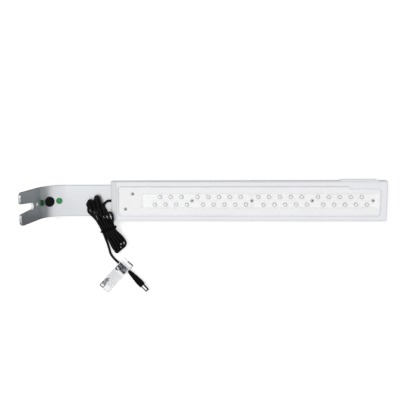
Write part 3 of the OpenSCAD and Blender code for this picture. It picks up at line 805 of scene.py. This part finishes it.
def build_tie():
    """A twist tie round the hank's waist: a flat strip with a wire down its middle, ends twisted."""
    hank = Matrix.Translation(HANK_ORIGIN) @ Matrix.Rotation(HANK_ANGLE + math.pi / 2, 4, "Z")
    places, _ = joined_vertices("cable_tie")
    local = [hank.inverted() @ p for p in places]
    band = [p for p in local if abs(abs(p.y) - 1.5) < 0.01]
    low_x, high_x = min(p.x for p in band), max(p.x for p in band)
    low_z, high_z = min(p.z for p in band), max(p.z for p in band)
    half = Vector(((high_x - low_x) / 2 - 0.35, (high_z - low_z) / 2 - 0.35))
    centre = Vector(((high_x + low_x) / 2, 0, (high_z + low_z) / 2))
    corner = 2.2
    path = []
    for turn in range(4):
        sign_x, sign_z = ((1, 1), (-1, 1), (-1, -1), (1, -1))[turn]
        for k in range(7):
            a = math.radians(90 * turn + 15 * k)
            path.append(centre + Vector((
                sign_x * (half.x - corner) + corner * math.cos(a), 0,
                sign_z * (half.y - corner) + corner * math.sin(a),
            )))
    strip = [
        (-1.45, -0.1), (1.45, -0.1), (1.5, 0), (1.4, 0.12), (0.5, 0.14), (0.32, 0.3), (0, 0.38),
        (-0.32, 0.3), (-0.5, 0.14), (-1.4, 0.12), (-1.5, 0)
    ]
    parts = [swept(path, strip, closed=True, up=Vector((0, 0, 1)))]
    knot = Vector((low_x + 0.3, 0, high_z - 2.2))
    for phase in (0, math.pi):
        turns = [phase + 0.55 * k for k in range(9)]
        twist = [
            knot + Vector((-0.16 * k, 0.42 * math.cos(a), 0.42 * math.sin(a)))
            for k, a in enumerate(turns)
        ]
        parts.append(swept(twist, [(a * 1.5, b * 0.7) for a, b in circle(0.34, 8)], twist=0.5))
    vertices, faces = merge(parts)
    piece = add_piece(
        "twist_tie", [hank @ v for v in vertices], faces, LOOKS["tie"], "tie_black", crease=50
    )
    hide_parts("cable_tie")


def build_boot():
    """The plug's boot: a tapered moulding with soft edges and slightly swollen sides."""
    taper = BOOT_LENGTH - BOOT_STRAIGHT
    tilt = math.atan((BOOT_RADIUS - BOOT_NECK) / taper)
    place = Matrix.Translation(BOOT_START) @ Matrix.Rotation(BOOT_ANGLE, 4, "Z")
    place = place @ Matrix.Rotation(math.pi / 2 - tilt, 4, "Y")
    inside = CABLE_RADIUS + 0.05
    profile = [
        (inside, 2.0), (inside, 0.15), (inside + 0.15, 0), (BOOT_NECK - 0.25, 0), (BOOT_NECK, 0.25)
    ]
    profile += [
        (BOOT_NECK + (BOOT_RADIUS - BOOT_NECK) * k / 16, taper * k / 16) for k in range(1, 17)
    ]
    profile += arc((BOOT_RADIUS - 0.5, BOOT_LENGTH - 0.5), 0.5, 0, 90, 5)
    profile += [(SLEEVE_RADIUS + 0.25, BOOT_LENGTH), (SLEEVE_RADIUS + 0.02, BOOT_LENGTH - 0.25),
                (SLEEVE_RADIUS - 0.1, BOOT_LENGTH - 1.2)]
    vertices, faces = turned(profile, [Matrix()], 48)
    for v in vertices:
        swell = BOOT_BULGE * math.sin(math.pi * min(max(v.z / BOOT_LENGTH, 0), 1)) ** 0.8
        v.y *= 1 + swell / BOOT_RADIUS
    piece = add_piece(
        "plug_boot_moulding", [place @ v for v in vertices], faces, LOOKS["boot"], "boot_black"
    )
    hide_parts("plug_boot")


# ---- Label ----


def label_profile():
    """The film's path, seen from its side: out along the table, round the fold and back on top."""
    low, top, mouth = 0.2, LABEL_HEIGHT - 0.15, 5.0
    fold = [
        (LABEL_FOLD + 1.4 - 1.25 * math.sin(a), (low + top) / 2 - (top - low) / 2 * math.cos(a))
        for a in (math.radians(22.5 * k) for k in range(9))
    ]
    top_path = [(LABEL_FOLD + 5, top), (mouth - 3.6, top), (mouth - 1.4, top - 0.25)]
    top_path += [(mouth + 1.8, top * 0.55), (mouth + 4.4, low + 0.62), (mouth + 6.4, low + 0.3)]
    return [(LABEL_END, low), (10, low)] + fold + top_path + [(LABEL_END, low + 0.3)]


def ribbon(path, half_width, thickness):
    """A thin sheet that follows a path of (along, up) points, with a given half width."""
    count = len(path)
    vertices, faces = [], []
    for i, (x, z) in enumerate(path):
        before, after = path[max(i - 1, 0)], path[min(i + 1, count - 1)]
        away = Vector((before[1] - after[1], after[0] - before[0])).normalized() * thickness / 2
        for side in (-1, 1):
            for face in (-1, 1):
                vertices.append(Vector((x + face * away.x, side * half_width, z + face * away.y)))
    for i in range(count - 1):
        a, b = 4 * i, 4 * i + 4
        faces += [
            [a, a + 2, b + 2, b], [a + 1, b + 1, b + 3, a + 3], [a, b, b + 1, a + 1],
            [a + 2, a + 3, b + 3, b + 2],
        ]
    end = 4 * (count - 1)
    faces += [[0, 1, 3, 2], [end, end + 2, end + 3, end + 1]]
    return vertices, faces


def ink_mark(along, across, length, width, level):
    """A patch of ink that follows the level of the paper, half a hair thick."""
    steps = math.ceil(length / 0.5)
    path = [(along + length * i / steps, level(along + length * i / steps)) for i in range(steps + 1)]
    vertices, faces = ribbon(path, width / 2, 0.02)
    return [v + Vector((0, across, 0)) for v in vertices], faces


def build_label():
    frame_matrix = Matrix.Translation(LABEL_CENTRE) @ Matrix.Rotation(LABEL_ANGLE, 4, "Z")

    def placed(shape):
        return [frame_matrix @ v for v in shape[0]], shape[1]

    path = label_profile()
    film = add_piece(
        "label_film_loop", *placed(ribbon(path, LABEL_WIDTH / 2, 0.22)), LOOKS["film"], "label_film"
    )
    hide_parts("label_flag")

    upper = [p for p in path[path.index((LABEL_FOLD + 5, LABEL_HEIGHT - 0.15)):]]
    start = (PAPER_START, upper[0][1])
    sheet_path = [start] + upper[1:-1] + [(LABEL_END - 0.8, upper[-1][1])]
    half = LABEL_WIDTH / 2 - LABEL_MARGIN

    def level(x):
        for (x0, z0), (x1, z1) in zip(sheet_path, sheet_path[1:]):
            if x <= x1:
                return z0 + (z1 - z0) * (x - x0) / (x1 - x0) + 0.14
        return sheet_path[-1][1] + 0.14

    add_piece(
        "label_paper_sheet", *placed(ribbon([(x, z + 0.02) for x, z in sheet_path], half, 0.2)),
        LOOKS["paper"], "label_film"
    )

    def over(x):
        return LABEL_HEIGHT - 0.02

    # Print that means nothing: a dense block near the cable, made of dark clumps round these
    # (along, across) cells, then rows of small marks, and a bar pattern at the far end
    dice = random.Random(11)
    cell = PRINT_CELL
    dark, grey, pale, lines = [], [], [], []
    clumps = [
        (0.5, 10.5), (1, 8.6), (1, 4.5), (2.5, 5.8), (4.5, 11), (5.5, 8.3), (5.5, 6.3), (6.5, 1.5),
        (9, 10)
    ]
    for i in range(11):
        for j in range(12):
            mark = ink_mark(PRINT_START + i * cell, 5.5 * cell - j * cell, cell, cell, level)
            near = min(math.hypot(i - a, j - b) for a, b in clumps)
            chance = dice.random() * 0.5 + near * 0.26
            if math.hypot(i - 7.6, j - 9.2) > 1.3 and (i < 9 or j > 7):
                (dark if chance < 0.42 else grey if chance < 0.76 else pale).append(mark)
    for row in range(8):
        x = 11.8
        while x < (25 if row > 4 else 31 + dice.random() * 4):
            length = dice.uniform(0.6, 2.2)
            shade = dark if row in (5, 6) else lines if row > 2 else pale
            shade.append(ink_mark(x, 5.6 - row * 1.7, length, 0.5, level))
            x += length + 0.5
    x = 25.5
    while x < 38:
        length = dice.choice((0.5, 0.7))
        wide = 3.2 if x < 28 else 5.2
        dark.append(ink_mark(x, -4.8, length, wide, level))
        fill = grey if dice.random() < 0.6 else pale
        fill.append(ink_mark(x + length, -4.8, 0.45, wide * 0.8, level))
        x += length + dice.choice((0.5, 0.7, 0.9))
    dark += [ink_mark(34, side, 7, 0.8, level) for side in (-7.4, -2.0)]
    dark.append(ink_mark(40.6, -4.7, 0.9, 6.2, level))
    # The edges of the sheet, and grey painted shade along the clear loop's fold and along its edge
    # beside the fold
    lines += [ink_mark(12, side * (half - 0.15), LABEL_END - 13, 0.3, level) for side in (-1, 1)]
    lines.append(ink_mark(LABEL_END - 1.2, 0, 0.3, 2 * half, level))
    # Painted shade: grey ink on the fold of the clear loop and beside it
    fold_shade, fold_shade_faces = ribbon([(x - 0.12, z + 0.04) for x, z in path[7:11]], 4.7, 0.04)
    grey.append(([v + Vector((0, 3.8, 0)) for v in fold_shade], fold_shade_faces))
    grey.append(ink_mark(LABEL_FOLD + 1.3, 8.2, 5.4, 0.7, over))
    add_piece("label_print_block", *placed(merge(pale)), LOOKS["pale_ink"], "label_film")
    add_piece("label_fine_print", *placed(merge(grey + lines)), LOOKS["grey_ink"], "label_film")
    add_piece("label_bars", *placed(merge(dark)), LOOKS["ink"], "label_film")


# ---- Floor, light and camera ----


def node_tree(owner):
    owner.use_nodes = True
    owner.node_tree.nodes.clear()
    return owner.node_tree


def build_floor():
    """A plain pale floor. It looks white, and throws less light back up than it seems to."""
    bpy.ops.mesh.primitive_plane_add(size=8, location=(0, 0, -0.03 * MM))
    floor = bpy.context.object
    floor.name = "floor"
    material = bpy.data.materials.new("floor")
    tree = node_tree(material)
    output = tree.nodes.new("ShaderNodeOutputMaterial")
    pale = tree.nodes.new("ShaderNodeBsdfPrincipled")
    pale.inputs["Base Color"].default_value = (0.60, 0.60, 0.60, 1)
    pale.inputs["Roughness"].default_value = 0.9
    pale.inputs["Emission Color"].default_value = (1, 1, 1, 1)
    pale.inputs["Emission Strength"].default_value = 0.5
    dim = tree.nodes.new("ShaderNodeBsdfDiffuse")
    dim.inputs["Color"].default_value = (0.3, 0.3, 0.3, 1)
    path = tree.nodes.new("ShaderNodeLightPath")
    mix = tree.nodes.new("ShaderNodeMixShader")
    tree.links.new(path.outputs["Is Camera Ray"], mix.inputs[0])
    tree.links.new(dim.outputs[0], mix.inputs[1])
    tree.links.new(pale.outputs[0], mix.inputs[2])
    tree.links.new(mix.outputs[0], output.inputs["Surface"])
    floor.data.materials.append(material)


def build_world():
    """Soft light from all round, strongest overhead. Reflections see a darker horizon."""
    world = bpy.data.worlds.new("studio")
    bpy.context.scene.world = world
    tree = node_tree(world)
    add, link = tree.nodes.new, tree.links.new
    output = add("ShaderNodeOutputWorld")
    where = add("ShaderNodeTexCoord")
    split = add("ShaderNodeSeparateXYZ")
    link(where.outputs["Generated"], split.inputs[0])
    path = add("ShaderNodeLightPath")

    def sky(height_output, stops):
        ramp = add("ShaderNodeValToRGB")
        link(height_output, ramp.inputs[0])
        elements = ramp.color_ramp.elements
        while len(elements) > 1:
            elements.remove(elements[-1])
        for k, (height, level) in enumerate(stops):
            element = elements[0] if k == 0 else elements.new(height)
            element.position = height
            element.color = (level, level, level * 1.01, 1)
        background = add("ShaderNodeBackground")
        link(ramp.outputs[0], background.inputs["Color"])
        background.inputs["Strength"].default_value = SKY_STRENGTH
        return background

    # Diffuse light comes mostly from above. Reflections see a large soft box that leans to +X.
    soft = sky(split.outputs["Z"], [(0.0, 0.25), (0.4, 0.4), (1.0, 0.8)])
    lean = add("ShaderNodeVectorMath")
    lean.operation = "DOT_PRODUCT"
    lean.inputs[1].default_value = Vector((0.41, 0, 1)).normalized()
    link(where.outputs["Generated"], lean.inputs[0])
    mirrored = sky(
        lean.outputs["Value"], [(0.0, 0.05), (0.4, 0.09), (0.6, 0.45), (0.72, 0.67), (1, 0.68)]
    )
    plain = add("ShaderNodeBackground")
    plain.inputs["Color"].default_value = (0.96, 0.96, 0.97, 1)
    first = add("ShaderNodeMixShader")
    link(path.outputs["Is Glossy Ray"], first.inputs[0])
    link(soft.outputs[0], first.inputs[1])
    link(mirrored.outputs[0], first.inputs[2])
    second = add("ShaderNodeMixShader")
    link(path.outputs["Is Camera Ray"], second.inputs[0])
    link(first.outputs[0], second.inputs[1])
    link(plain.outputs[0], second.inputs[2])
    link(second.outputs[0], output.inputs["Surface"])


def build_lamp():
    """A smaller soft box, up and to the left, for highlights and a faint direction of light."""
    lamp = bpy.data.objects.new("lamp", bpy.data.lights.new("lamp", "AREA"))
    lamp.data.shape = "SQUARE"
    lamp.data.size = 0.35
    lamp.data.energy = 3
    lamp.location = (-0.75, 0.35, 1.1)
    lamp.rotation_euler = (Vector((-0.15, 0, 0)) - lamp.location).to_track_quat("-Z", "Y").to_euler()
    bpy.context.scene.collection.objects.link(lamp)


def build_camera():
    camera = bpy.data.objects.new("camera", bpy.data.cameras.new("camera"))
    camera.data.sensor_width = 36
    camera.data.lens = CAMERA_LENS
    camera.data.clip_start, camera.data.clip_end = 0.01, 20
    back = (CAMERA_PLACE - CAMERA_TARGET).normalized()
    right = Vector((0, 1, 0)).cross(back).normalized()
    rotation = Matrix((right, back.cross(right), back)).transposed()
    lean = Matrix.Rotation(CAMERA_ROLL, 3, "Z")
    camera.matrix_world = Matrix.Translation(CAMERA_PLACE * MM) @ (rotation @ lean).to_4x4()
    bpy.context.scene.collection.objects.link(camera)
    bpy.context.scene.camera = camera


build_arm()
build_leds()
build_screws("board_screw_set", "board_screws", 2.2, 1.3, 1.2, 3.5)
build_screws("arm_screw_set", "arm_screws", 2.4, 1.5, 1.45, 4.2)
build_pads()
build_cable()
build_tie()
build_boot()
build_label()
build_floor()
build_world()
build_lamp()
build_camera()
bpy.context.scene.view_settings.view_transform = "Standard"
